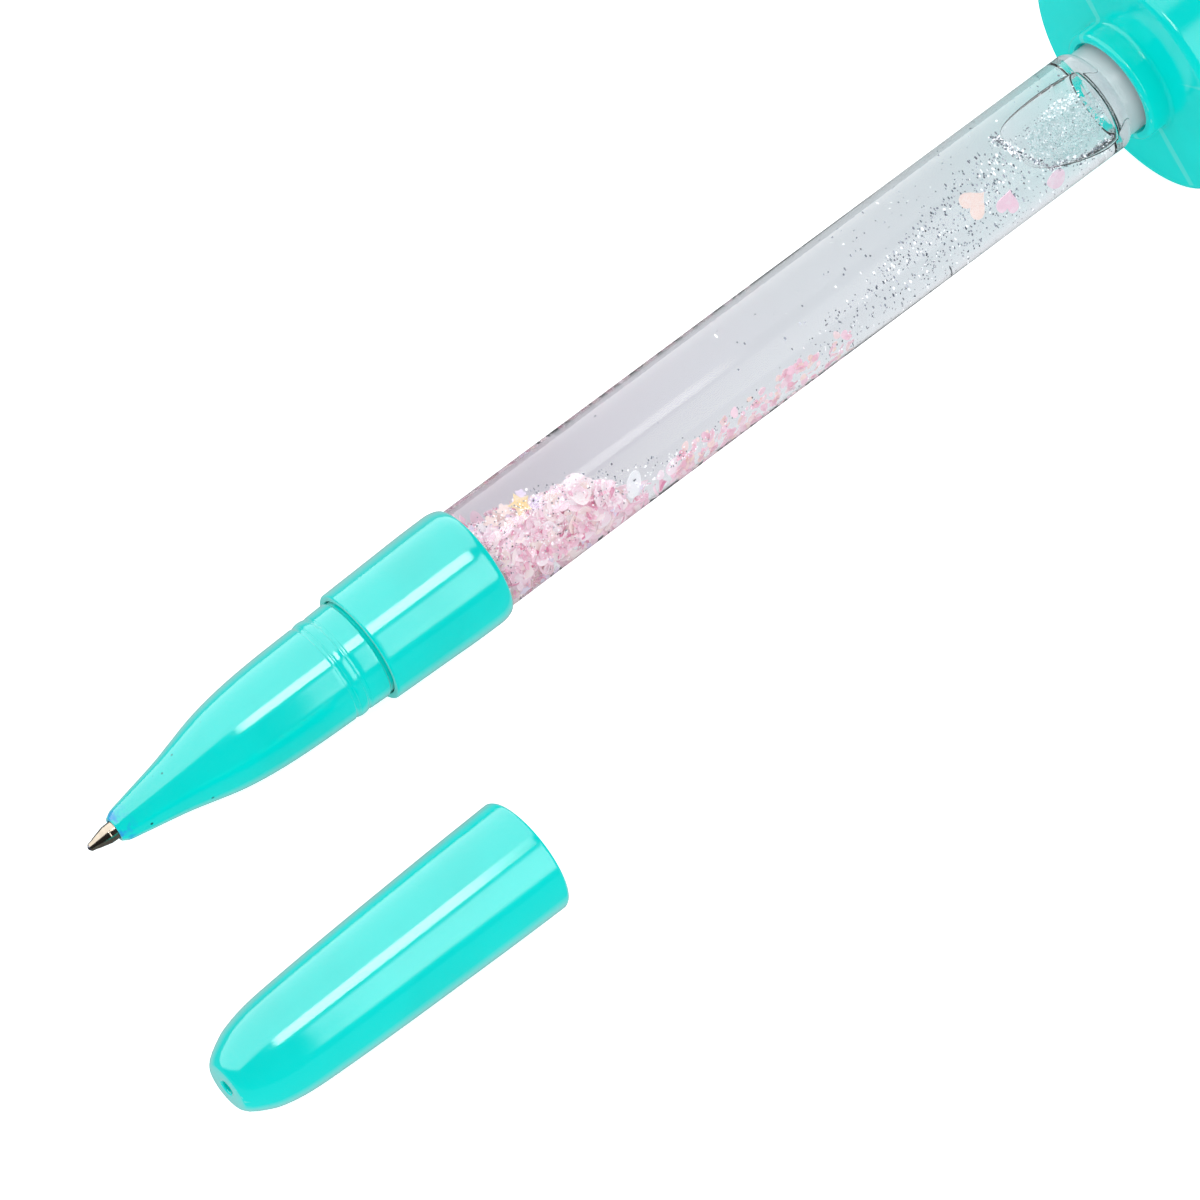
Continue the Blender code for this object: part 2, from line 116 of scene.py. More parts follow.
def pen_matrix():
    """The pen's axis, from the direction of its nose joint and the centre of its ball."""
    joints = {joint["name"]: joint for joint in frame["record"]["behaviour"]["joints"]}
    along = -Vector(joints["nose_pull"]["axis"])
    ball = Vector(joints["ball_roll"]["pos_m"])
    return upright(ball - along.normalized() * BALL_RADIUS * MM, along)


def cap_matrix():
    """The cap's axis, from the mount on its closed end, which lies beside the hole there."""
    mounts = {mount["name"]: mount for mount in frame["record"]["mounts"]}
    closed_end = mounts["cap_closed_end"]
    side_step = 1.6 * MM
    beside = upright(Vector(closed_end["pos_m"]), -Vector(closed_end["axis"]))
    return beside @ Matrix.Translation((0.0, -side_step, 0.0))


def camera_line():
    """Unit vector from the camera to its target."""
    elevation = math.radians(CAMERA_ELEVATION)
    heading = math.radians(CAMERA_HEADING)
    flat = math.cos(elevation)
    return Vector((flat * math.cos(heading), flat * math.sin(heading), -math.sin(elevation)))


PEN = pen_matrix()
CAP = cap_matrix()
TO_CAMERA = (PEN.to_3x3().inverted() @ -camera_line()) * Vector((0.0, 1.0, 1.0))
TO_CAMERA.normalize()
SIDEWAYS = Vector((1.0, 0.0, 0.0)).cross(TO_CAMERA)


def round_pen(turn):
    """Unit vector across the pen's axis, in its own axes, at that turn from the camera."""
    angle = math.radians(turn)
    return TO_CAMERA * math.cos(angle) + SIDEWAYS * math.sin(angle)


# -------- outlines

def smooth(points, step=0.45):
    """A smooth curve through the given (x, radius) points, about one point for each step."""
    slopes = []
    for index in range(len(points)):
        before = points[max(index - 1, 0)]
        after = points[min(index + 1, len(points) - 1)]
        slopes.append((after[1] - before[1]) / (after[0] - before[0]))
    curve = []
    for index in range(len(points) - 1):
        x0, r0 = points[index]
        x1, r1 = points[index + 1]
        length = x1 - x0
        pieces = max(1, round(length / step))
        for piece in range(pieces):
            t = piece / pieces
            start_bend = t * (1.0 - t) ** 2 * length * slopes[index]
            end_bend = t ** 2 * (t - 1.0) * length * slopes[index + 1]
            blend = t ** 2 * (3.0 - 2.0 * t)
            curve.append((x0 + t * length, r0 + (r1 - r0) * blend + start_bend + end_bend))
    curve.append(points[-1])
    return curve


def arc(centre, size_x, size_r, start, end, steps=14):
    """An elliptical arc; angles in degrees, 0 along +x and 90 straight out from the axis."""
    points = []
    for index in range(steps + 1):
        angle = math.radians(start + (end - start) * index / steps)
        points.append((centre[0] + size_x * math.cos(angle), centre[1] + size_r * math.sin(angle)))
    return points


def rounded(outline, size):
    """The outline with each sharp corner off the axis replaced by a small curve."""
    steps = 4
    gentle_bend = math.radians(22.0)
    result = []
    for index, corner in enumerate(outline):
        here = Vector(corner)
        back = Vector(outline[index - 1]) - here
        ahead = Vector(outline[(index + 1) % len(outline)]) - here
        is_plain = corner[1] == 0.0 or back.length == 0.0 or ahead.length == 0.0
        if is_plain or math.pi - back.angle(ahead) < gentle_bend:
            result.append(corner)
            continue
        reach = min(size, back.length * 0.45, ahead.length * 0.45)
        start = here + back.normalized() * reach
        end = here + ahead.normalized() * reach
        for step in range(steps + 1):
            t = step / steps
            point = start * (1.0 - t) ** 2 + here * 2.0 * t * (1.0 - t) + end * t ** 2
            result.append((point.x, point.y))
    return result


# -------- meshes and pieces

def finished(name, mesh, matrix, looks, sharp=38.0):
    """Makes the named object of a mesh whose points are in metres on the matrix's axes."""
    mesh.shade_smooth()
    mesh.set_sharp_from_angle(angle=math.radians(sharp))
    for look in looks:
        mesh.materials.append(look)
    made = bpy.data.objects.new(name, mesh)
    bpy.context.collection.objects.link(made)
    made.matrix_world = matrix
    return made


def declare(made, body, slot, *nodes):
    """Hangs a piece on the body it rides on and hides the imported parts that it stands for. The slot, what
    it is made of, is not used.
    """
    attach(made, body)
    if nodes:
        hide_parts(*nodes)


def to_mesh(name, body):
    """The mesh of a bmesh, which is freed."""
    mesh = bpy.data.meshes.new(name)
    body.to_mesh(mesh)
    body.free()
    return mesh


def turned(name, outline, look, matrix, facets=FACETS, inner_look=None, is_inner=None):
    """A turned piece; faces whose middle passes is_inner(x, radius) get the inner look."""
    body = bmesh.new()
    rings = []
    for x, r in outline:
        if r == 0.0:
            rings.append([body.verts.new((x * MM, 0.0, 0.0))] * facets)
            continue
        ring = []
        for step in range(facets):
            angle = math.tau * step / facets
            ring.append(body.verts.new((x * MM, r * MM * math.sin(angle), -r * MM * math.cos(angle))))
        rings.append(ring)
    last = len(outline) if outline[0][1] > 0.0 else len(outline) - 1
    for index in range(last):
        after = (index + 1) % len(outline)
        x = (outline[index][0] + outline[after][0]) / 2
        r = (outline[index][1] + outline[after][1]) / 2
        slot_index = 1 if is_inner and is_inner(x, r) else 0
        for step in range(facets):
            beside = (step + 1) % facets
            corners = [rings[index][step], rings[after][step], rings[after][beside], rings[index][beside]]
            corners = list(dict.fromkeys(corners))
            if len(corners) > 2:
                body.faces.new(corners).material_index = slot_index
    bmesh.ops.recalc_face_normals(body, faces=body.faces)
    looks = [look] if inner_look is None else [look, inner_look]
    return finished(name, to_mesh(name, body), matrix, looks)


# -------- looks

def new_look(name):
    """A node material: (material, its nodes, its Principled shader)."""
    look = bpy.data.materials.new(name)
    look.use_nodes = True
    nodes = look.node_tree.nodes
    return look, nodes, nodes["Principled BSDF"]


def link(source, target):
    """Links two sockets of one node tree."""
    source.id_data.links.new(source, target)


def set_inputs(node, **values):
    """Sets the named inputs of a node; an underscore stands for a space in the name."""
    for name, value in values.items():
        node.inputs[name.replace("_", " ")].default_value = value


def add_node(nodes, kind, **values):
    """A new shader node of that kind, with the named inputs set."""
    made = nodes.new("ShaderNode" + kind)
    set_inputs(made, **values)
    return made


def place_node(nodes, scale=(1.0, 1.0, 1.0)):
    """Object coordinates, stretched by scale; returns the socket."""
    mapping = add_node(nodes, "Mapping", Scale=scale)
    link(add_node(nodes, "TexCoord").outputs["Object"], mapping.inputs["Vector"])
    return mapping.outputs["Vector"]


def along_node(nodes):
    """Two sockets: the distance along the axis, in metres, and the whole object coordinates."""
    coordinates = add_node(nodes, "TexCoord").outputs["Object"]
    parts = add_node(nodes, "SeparateXYZ")
    link(coordinates, parts.inputs["Vector"])
    return parts.outputs["X"], coordinates


def noise_node(nodes, scale, detail=3.0, stretch=(1.0, 1.0, 1.0)):
    made = add_node(nodes, "TexNoise", Scale=scale, Detail=detail)
    link(place_node(nodes, stretch), made.inputs["Vector"])
    return made.outputs["Fac"]


def ramp_node(nodes, source, stops):
    """A colour ramp with the given (position, colour) stops, fed by source."""
    made = add_node(nodes, "ValToRGB")
    elements = made.color_ramp.elements
    while len(elements) < len(stops):
        elements.new(0.5)
    for element, (position, colour) in zip(elements, stops):
        element.position = position
        element.color = (*colour, 1.0)
    link(source, made.inputs["Fac"])
    return made.outputs["Color"]


def own_colour_node(nodes, stops):
    """One colour of the ramp for each loose flake of a mesh."""
    shape = add_node(nodes, "NewGeometry")
    return ramp_node(nodes, shape.outputs["Random Per Island"], stops)


def range_node(nodes, source, low, high, from_low=0.0, from_high=1.0):
    """The source, carried from the range from_low to from_high over to that of low to high."""
    made = add_node(nodes, "MapRange", From_Min=from_low, From_Max=from_high, To_Min=low, To_Max=high)
    link(source, made.inputs["Value"])
    return made.outputs["Result"]


def mix_node(nodes, factor, first, second):
    """Mixes two colours; first and second are sockets or plain colours."""
    made = add_node(nodes, "Mix")
    made.data_type = "RGBA"
    link(factor, made.inputs["Factor"])
    for socket_name, value in (("A", first), ("B", second)):
        socket = [item for item in made.inputs if item.name == socket_name and item.type == "RGBA"][0]
        if isinstance(value, tuple):
            socket.default_value = (*value, 1.0)
        else:
            link(value, socket)
    return [item for item in made.outputs if item.type == "RGBA"][0]


def bump_node(nodes, source, strength, distance, normal=None):
    made = add_node(nodes, "Bump", Strength=strength, Distance=distance)
    link(source, made.inputs["Height"])
    if normal is not None:
        link(normal, made.inputs["Normal"])
    return made.outputs["Normal"]


def math_node(nodes, operation, first, second):
    made = add_node(nodes, "Math")
    made.operation = operation
    link(first, made.inputs[0])
    link(second, made.inputs[1])
    return made.outputs["Value"]


def mix_shaders(nodes, factor, first, second):
    """Mixes two shader sockets; the factor is how much of the second shows."""
    made = add_node(nodes, "MixShader")
    link(factor, made.inputs["Fac"])
    link(first, made.inputs[1])
    link(second, made.inputs[2])
    return made.outputs["Shader"]


def moulded_turquoise(name, inked=False, shine=1.0, rim=0.9):
    """Glossy moulded plastic: cloudy colour, a soft orange-peel surface, a painted highlight along sharp
    edges and a painted pale reflection on rims turned away from the view.
    """
    look, nodes, shader = new_look(name)
    cloud = noise_node(nodes, 90.0)
    deep = tuple(0.96 * part for part in TURQUOISE)
    light = (0.0, 0.83, 0.76)
    colour = ramp_node(nodes, cloud, [(0.35, deep), (0.65, light)])
    # Sharp convex edges are mixed toward pale turquoise: a painted edge highlight.
    edges = add_node(nodes, "NewGeometry").outputs["Pointiness"]
    edge_highlight = range_node(nodes, edges, 0.0, 0.35, 0.53, 0.6)
    colour = mix_node(nodes, edge_highlight, colour, (0.25, 0.88, 0.8))
    # Where the surface turns away from the view, the colour is mixed toward pale turquoise, by up to rim: a
    # painted reflection on the rims.
    turned_away = add_node(nodes, "LayerWeight").outputs["Facing"]
    pale = range_node(nodes, turned_away, 0.0, rim, 0.52, 0.9)
    colour = mix_node(nodes, pale, colour, (0.45, 0.86, 0.83))
    if inked:
        colour = ink_stains(nodes, colour)
    link(colour, shader.inputs["Base Color"])
    gloss = noise_node(nodes, 700.0, 2.0)
    link(range_node(nodes, gloss, 0.07, 0.15), shader.inputs["Roughness"])
    peel = noise_node(nodes, 420.0, 2.0)
    soft = bump_node(nodes, peel, 0.05, 0.00012)
    hair = noise_node(nodes, 60.0, 2.0, (1.0, 30.0, 30.0))
    link(bump_node(nodes, hair, 0.025, 0.00006, soft), shader.inputs["Normal"])
    set_inputs(shader, IOR=PLASTIC_INDEX, Specular_Tint=(shine, shine, shine, 1.0),
               Subsurface_Weight=0.06, Subsurface_Radius=(0.1, 1.0, 0.9), Subsurface_Scale=0.0008)
    return look


def ink_stains(nodes, colour):
    """Blue ink smudges round the nose's front end and a few dark specks behind it."""
    along, coordinates = along_node(nodes)
    near_end = range_node(nodes, along, 1.0, 0.0, 3.6 * MM, 5.4 * MM)
    blots = noise_node(nodes, 900.0, 2.0)
    blots = range_node(nodes, blots, 0.0, 1.0, 0.47, 0.62)
    smudge = math_node(nodes, "MULTIPLY", near_end, blots)
    stained = mix_node(nodes, smudge, colour, (0.02, 0.42, 0.85))
    specks = add_node(nodes, "TexVoronoi", Scale=620.0)
    link(coordinates, specks.inputs["Vector"])
    dot = range_node(nodes, specks.outputs["Distance"], 1.0, 0.0, 0.07, 0.13)
    rare = noise_node(nodes, 420.0, 1.0)
    rare = range_node(nodes, rare, 0.0, 1.0, 0.49, 0.53)
    ahead = range_node(nodes, along, 1.0, 0.0, 12.0 * MM, 17.0 * MM)
    dots = math_node(nodes, "MULTIPLY", dot, rare)
    dots = math_node(nodes, "MULTIPLY", dots, ahead)
    return mix_node(nodes, dots, stained, (0.0, 0.12, 0.12))


def let_lamps_through(nodes, shader):
    """Lets the light that falls on what is inside pass straight through a glass look."""
    path = add_node(nodes, "LightPath").outputs
    either = math_node(nodes, "MAXIMUM", path["Is Shadow Ray"], path["Is Diffuse Ray"])
    passing = add_node(nodes, "BsdfTransparent", Color=(0.98, 0.98, 0.99, 1.0))
    mixed = mix_shaders(nodes, either, shader.outputs["BSDF"], passing.outputs["BSDF"])
    link(mixed, nodes["Material Output"].inputs["Surface"])


def clear_look(name, ior, shaded_near_tint, far_tint, lit_side_tint=None):
    """Clear plastic or liquid; its tint changes slowly along the axis from near to far, and this is painted
    shade: the near end, by the nose, is darker and pinker.

    A side tint, if given, is that of the lower right side where the near tint still holds; it is painted
    light, which makes that side lighter. Only such a wall has drawn-out streaks.
    """
    look, nodes, shader = new_look(name)
    along, coordinates = along_node(nodes)
    along = range_node(nodes, along, 0.0, 1.0, 52.0 * MM, 95.0 * MM)
    near = shaded_near_tint
    if lit_side_tint:
        across = add_node(nodes, "VectorMath")
        across.operation = "DOT_PRODUCT"
        across.inputs[1].default_value = SIDEWAYS
        link(coordinates, across.inputs[0])
        side = range_node(nodes, across.outputs["Value"], 0.0, 1.0, -1.5 * MM, 2.0 * MM)
        near = mix_node(nodes, side, shaded_near_tint, lit_side_tint)
        lines = noise_node(nodes, 25.0, 3.0, (0.4, 28.0, 28.0))
        link(bump_node(nodes, lines, 0.12, 0.00005), shader.inputs["Normal"])
    # Painted shade along the axis and painted light on the lower right side.
    link(mix_node(nodes, along, near, far_tint), shader.inputs["Base Color"])
    set_inputs(shader, IOR=ior, Transmission_Weight=1.0, Specular_Tint=(0.22, 0.22, 0.22, 1.0))
    smear = noise_node(nodes, 300.0, 2.0)
    link(range_node(nodes, smear, 0.0, 0.03), shader.inputs["Roughness"])
    let_lamps_through(nodes, shader)
    return look


def bonded_wall():
    """The tube's inner wall, which the liquid wets: the liquid's own surface bends the light."""
    look, nodes, shader = new_look("wetted_wall")
    nodes.remove(shader)
    passing = add_node(nodes, "BsdfTransparent")
    link(passing.outputs["BSDF"], nodes["Material Output"].inputs["Surface"])
    return look


def metal_look(name, colour, rough_low, rough_high, grooves):
    """Turned metal with fine grooves round it and a cloudy polish."""
    look, nodes, shader = new_look(name)
    cloud = noise_node(nodes, 1500.0)
    dull = tuple(0.8 * part for part in colour)
    link(ramp_node(nodes, cloud, [(0.3, dull), (0.7, colour)]), shader.inputs["Base Color"])
    set_inputs(shader, Metallic=1.0)
    link(range_node(nodes, cloud, rough_low, rough_high), shader.inputs["Roughness"])
    bands = add_node(nodes, "TexWave", Scale=grooves, Distortion=1.0)
    bands.bands_direction = "X"
    link(place_node(nodes), bands.inputs["Vector"])
    link(bump_node(nodes, bands.outputs["Fac"], 0.1, 0.00001), shader.inputs["Normal"])
    return look


def satin_look(name, dark, light, roughness):
    """Soft satin plastic, ink or grease with a faint cloud in its colour and its gloss."""
    look, nodes, shader = new_look(name)
    cloud = noise_node(nodes, 260.0)
    link(ramp_node(nodes, cloud, [(0.3, dark), (0.7, light)]), shader.inputs["Base Color"])
    link(range_node(nodes, cloud, 0.8 * roughness, 1.2 * roughness), shader.inputs["Roughness"])
    grain = noise_node(nodes, 1800.0, 2.0)
    link(bump_node(nodes, grain, 0.1, 0.00003), shader.inputs["Normal"])
    return look


def flake_look(name, stops, roughness=0.35, veins=0.25, glow=0.07):
    """Thin pearly film; every flake takes its own colour from the ramp, and has faint veins.

    The weak emission is painted light: each flake glows a little in its own colour, standing for light that
    passes from flake to flake through the thin film.
    """
    look, nodes, shader = new_look(name)
    own = own_colour_node(nodes, stops)
    vein = noise_node(nodes, 1400.0, 3.0)
    vein = range_node(nodes, vein, 0.0, veins, 0.45, 0.75)
    link(mix_node(nodes, vein, own, (1.0, 0.93, 0.95)), shader.inputs["Base Color"])
    # Each flake glows in its own colour: painted light.
    link(own, shader.inputs["Emission Color"])
    set_inputs(shader, Roughness=roughness, Coat_Weight=0.5, Coat_Roughness=0.15, Emission_Strength=glow,
               Subsurface_Weight=0.25, Subsurface_Radius=(1.0, 0.75, 0.8), Subsurface_Scale=0.001)
    return look


def glitter_look(name, stops, roughness):
    """Metallised film flecks, each with a silver of its own."""
    look, nodes, shader = new_look(name)
    own = own_colour_node(nodes, stops)
    link(own, shader.inputs["Base Color"])
    set_inputs(shader, Metallic=1.0)
    grain = noise_node(nodes, 4000.0, 1.0)
    link(range_node(nodes, grain, 0.7 * roughness, 1.3 * roughness), shader.inputs["Roughness"])
    return look


# -------- nose, collar and refill

def make_nose(look):
    """Ogee nose with a snap ring and grooves beside it, and the spigot that enters the collar."""
    belly = 5.64
    ogee = smooth([(3.35, 1.4), (4.0, 1.76), (5.4, 2.06), (8.9, 2.73), (10.9, 3.14), (12.8, 3.63),
                   (16.6, 4.58), (20.5, 5.16), (25.0, 5.48), (30.1, belly)])
    groove = arc((30.35, belly), 0.25, -0.07, 180.0, 0.0, 6)
    ring = arc((31.2, belly), 0.5, 0.11, 180.0, 0.0)
    second_groove = arc((32.0, belly + 0.02), 0.2, -0.05, 180.0, 0.0, 6)
    band = smooth([(32.3, 5.68), (33.4, 5.72), (34.45, 5.75)], 0.4)
    end_face = [(3.3, 1.06), (3.3, 1.3)]
    spigot = [(34.6, 5.55), (43.3, 5.55), (43.7, 5.2)]
    cavity = [(43.7, 4.5), (31.0, 4.5), (24.0, 3.6), (21.0, 2.6), (12.02, 2.6), (12.0, 2.12),
              (8.4, 2.12), (7.1, 1.5), (6.6, 1.06)]
    outline = end_face + ogee + groove[1:] + ring + second_groove + band + spigot + cavity
    made = turned("nose_shell", rounded(outline, 0.15), look, PEN)
    declare(made, "nose", "turquoise_plastic", "nose_cone")


def make_collar(look):
    """Grip sleeve with a narrow front lip, a slow swell and a rounded rear rim."""
    swell = smooth([(35.05, 6.45), (41.0, 6.62), (45.4, 6.75), (48.4, COLLAR_RADIUS)])
    rim = arc((48.4, 6.15), COLLAR_REAR_X - 48.4, COLLAR_RADIUS - 6.15, 85.0, 0.0)
    sockets = [(COLLAR_REAR_X, 6.06), (44.0, 6.06), (44.0, 5.72), (COLLAR_FRONT_X, 5.72)]
    outline = [(COLLAR_FRONT_X, 6.33)] + swell[:-1] + rim + sockets
    made = turned("grip_sleeve", rounded(outline, 0.12), look, PEN)
    declare(made, "barrel", "turquoise_plastic", "grip_collar")


def make_metal_tip():
    """Metal cone with a crimped lip round the ball, a step behind the cone and a thin shank."""
    cone = [(0.2, 0.4), (0.3, 0.44), (0.85, 0.56), (0.95, 0.62), (2.35, 0.97), (2.5, 1.0)]
    shank = [(2.5, 1.0), (2.6, 0.97), (2.7, 1.0), (6.9, 1.0), (6.95, 0.85), (10.4, 0.85)]
    ink_way = [(10.4, 0.5), (3.0, 0.5), (2.6, 0.2), (0.85, 0.2), (0.78, 0.385), (0.32, 0.385), (0.2, 0.342)]
    outline = rounded(cone + shank[1:] + ink_way, 0.05)
    look = metal_look("turned_nickel_silver", (0.3, 0.26, 0.21), 0.1, 0.22, 3500.0)
    made = turned("metal_tip", outline, look, PEN, 96)
    declare(made, "refill", "nickel_silver", "nib_tip")


def make_ball():
    """The writing ball, with ink in the fine pits of its surface."""
    body = bmesh.new()
    bmesh.ops.create_icosphere(body, subdivisions=4, radius=BALL_RADIUS * MM)
    for vertex in body.verts:
        pits = noise.noise(vertex.co * 9000.0)
        vertex.co *= 1.0 - 0.01 * max(0.0, pits)
    look = metal_look("inked_ball", (0.2, 0.2, 0.24), 0.1, 0.3, 9000.0)
    centre = PEN @ Matrix.Translation((BALL_RADIUS * MM, 0.0, 0.0))
    made = finished("writing_ball", to_mesh("writing_ball", body), centre, [look])
    declare(made, "ball", "ball_steel", "nib_ball")


# -------- clear tube, liquid and bubble

def make_tube():
    """Clear tube with a rounded shoulder and neck; the inner wall is left to the liquid."""
    shoulder = arc((NECK_X - 1.0, NECK_RADIUS), 0.9, TUBE_RADIUS - NECK_RADIUS, 90.0, 0.0)
    outside = [(TUBE_FRONT_X, TUBE_RADIUS)] + shoulder + [(NECK_X, NECK_RADIUS), (NECK_REAR_X, NECK_RADIUS)]
    inside = [(NECK_REAR_X, NECK_BORE), (TUBE_SHOULDER_X + 1.2, NECK_BORE), (TUBE_SHOULDER_X, TUBE_BORE),
              (TUBE_FRONT_X, TUBE_BORE)]
    # Painted shade and light: the tube is darker and pinker near the nose end and clear on its lower right
    # side.
    shade_and_light_tints = ((0.975, 0.935, 0.98), (0.955, 0.97, 0.985), (1.0, 1.0, 1.0))
    look = clear_look("clear_styrene", PLASTIC_INDEX, *shade_and_light_tints)

    def wetted(x, r):
        return r <= TUBE_BORE + 0.01 and LIQUID_FRONT_X - 0.5 < x < NECK_REAR_X - 0.5

    made = turned("clear_tube", rounded(outside + inside, 0.12), look, PEN, 192, bonded_wall(), wetted)
    declare(made, "barrel", "clear_plastic", "liquid_tube")


def make_liquid():
    """The liquid, filling the bore; its index is relative to the plastic round it."""
    skin = 0.005
    column = [(LIQUID_FRONT_X, 0.0), (LIQUID_FRONT_X, TUBE_BORE - skin),
              (TUBE_SHOULDER_X, TUBE_BORE - skin), (TUBE_SHOULDER_X + 1.2, NECK_BORE - skin),
              (LIQUID_REAR_X, NECK_BORE - skin), (LIQUID_REAR_X, 0.0)]
    # Painted shade: the liquid is a little darker and pinker near the nose end.
    look = clear_look("clear_oil", LIQUID_INDEX / PLASTIC_INDEX, (0.985, 0.975, 0.99), (0.985, 0.99, 0.99))
    made = turned("clear_filling", rounded(column, 0.1), look, PEN, 192)
    declare(made, "barrel", "clear_liquid", "liquid_fill")


def make_bubble():
    """Air bubble flattened along the near wall, blunt at the nose end and closed at the plug."""
    rear_x = PLUG_FACE_X - 0.15
    stations = 30
    around = 40
    arc_steps = 24
    body = bmesh.new()
    rings = []
    for station in range(stations + 1):
        way = math.pi * station / stations
        along = 0.5 - 0.5 * math.cos(way)
        x = BUBBLE_FRONT_X + (rear_x - BUBBLE_FRONT_X) * along
        fullness = max(math.sin(way), 0.0) ** 0.35
        reach = TUBE_BORE - 0.1 if x < TUBE_SHOULDER_X - 0.2 else NECK_BORE - 0.15
        upper = math.radians(-50.0)
        lower = math.radians(30.0 + 44.0 * min(1.0, along * 1.3))
        middle = (upper + lower) / 2
        half = (lower - upper) / 2 * fullness
        edge = reach * math.cos(half)
        ring = []
        for step in range(around):
            if step <= arc_steps:
                angle = -half + 2.0 * half * step / arc_steps
                side, height = reach * math.sin(angle), reach * math.cos(angle)
            else:
                t = (step - arc_steps) / (around - arc_steps)
                side = reach * math.sin(half) * (1.0 - 2.0 * t)
                height = edge - 0.4 * fullness * (1.0 - (2.0 * t - 1.0) ** 4)
            turn = math.degrees(middle)
            place = round_pen(turn) * height + round_pen(turn + 90.0) * side
            ring.append(body.verts.new((x * MM, place.y * MM, place.z * MM)))
        rings.append(ring)
    for first, second in zip(rings, rings[1:]):
        for step in range(around):
            beside = (step + 1) % around
            body.faces.new((first[step], second[step], second[beside], first[beside]))
    bmesh.ops.remove_doubles(body, verts=body.verts, dist=0.002 * MM)
    bmesh.ops.recalc_face_normals(body, faces=body.faces)
    look = clear_look("trapped_air", 1.0 / LIQUID_INDEX, (0.99, 0.99, 0.99), (0.99, 0.99, 0.99))
    made = finished("air_bubble", to_mesh("air_bubble", body), PEN, [look], 60.0)
    smoothing = made.modifiers.new("rounding", "SUBSURF")
    smoothing.levels = 1
    smoothing.render_levels = 1
    declare(made, "barrel", "clear_liquid")


def make_plugs():
    """The stopper at the tube's front and the frosted one whose face shows in the neck."""
    look = satin_look("frosted_plug", (0.6, 0.72, 0.72), (0.7, 0.8, 0.8), 0.3)
    front = [(44.2, 0.0), (44.2, 5.9), (45.3, 5.9), (45.3, 4.9), (49.6, 4.9), (49.6, 0.0)]
    made = turned("front_stopper", rounded(front, 0.15), look, PEN, 96)
    declare(made, "barrel", "plug_plastic", "tube_end_plug")
    flange_x = NECK_REAR_X + 0.3
    dish_x = PLUG_FACE_X + 0.15
    rear = [(dish_x, 0.0), (dish_x, 3.1), (PLUG_FACE_X, 3.3), (PLUG_FACE_X, 4.1), (PLUG_FACE_X + 0.2, 4.25),
            (flange_x, 4.25), (flange_x, 5.3), (flange_x + 1.0, 5.3), (flange_x + 1.0, 0.0)]
    made = turned("neck_stopper", rounded(rear, 0.1), look, PEN, 96)
    declare(made, "barrel", "plug_plastic", "neck_plug")


# -------- flakes

def circuit(count, point):
    """The outline whose points are point(angle) at equal steps of a full turn."""
    return [point(math.tau * index / count) for index in range(count)]


def petal(size):
    """Round petal with one pointed end."""
    def point(angle):
        half_width = 0.8 * size * (1.0 - 0.3 * math.cos(angle))
        return size * math.cos(angle), half_width * math.sin(angle)

    return circuit(16, point)


def star(size):
    points = []
    for index in range(10):
        radius = size if index % 2 == 0 else size * 0.52
        angle = math.pi * index / 5
        points.append((radius * math.cos(angle), radius * math.sin(angle)))
    return points


def heart(size):
    def point(angle):
        across = 16.0 * math.sin(angle) ** 3
        along = 13.0 * math.cos(angle) - 5.0 * math.cos(2 * angle) - 2.0 * math.cos(3 * angle)
        along -= math.cos(4 * angle)
        return along * size / 17.0, across * size / 17.0

    return circuit(24, point)


def blossom(size):
    """Five round petals in one flake."""
    def point(angle):
        radius = size * (0.62 + 0.38 * abs(math.cos(2.5 * angle)))
        return radius * math.cos(angle), radius * math.sin(angle)

    return circuit(40, point)


def oval(size):
    return circuit(20, lambda angle: (size * math.cos(angle), 0.6 * size * math.sin(angle)))


def fleck(size):
    """Hexagonal glitter fleck."""
    return circuit(6, lambda angle: (size * math.cos(angle), size * math.sin(angle)))


def add_plate(body, outline, thickness, frame_matrix, cup=0.0):
    """Adds a thin closed plate of that outline; cup lifts its rim by cup times distance squared."""
    half = thickness / 2
    sides = []
    for lift in (-half, half):
        rim = []
        for x, y in outline:
            bend = cup * (x * x + 0.3 * y * y)
            rim.append(body.verts.new(frame_matrix @ Vector((x * MM, y * MM, (lift + bend) * MM))))
        middle = body.verts.new(frame_matrix @ Vector((0.0, 0.0, lift * MM)))
        sides.append((rim, middle))
    (low, low_middle), (high, high_middle) = sides
    count = len(outline)
    for index in range(count):
        beside = (index + 1) % count
        body.faces.new((high_middle, high[index], high[beside]))
        body.faces.new((low_middle, low[beside], low[index]))
        body.faces.new((low[index], low[beside], high[beside], high[index]))


def add_ribbon(body, length, width, thickness, curl, frame_matrix):
    """Adds a thin strip curled by the given whole angle, in radians."""
    steps = 9
    rings = []
    for index in range(steps + 1):
        angle = curl * (index / steps - 0.5)
        radius = length / curl
        x = radius * math.sin(angle)
        z = radius * (1.0 - math.cos(angle))
        out = Vector((-math.sin(angle), 0.0, math.cos(angle))) * thickness / 2
        ring = []
        for side, lift in ((-1, -1), (1, -1), (1, 1), (-1, 1)):
            point = Vector((x, side * width / 2, z)) + out * lift
            ring.append(body.verts.new(frame_matrix @ (point * MM)))
        rings.append(ring)
    for first, second in zip(rings, rings[1:]):
        for side in range(4):
            beside = (side + 1) % 4
            body.faces.new((first[side], second[side], second[beside], first[beside]))
    body.faces.new(rings[0])
    body.faces.new(rings[-1][::-1])


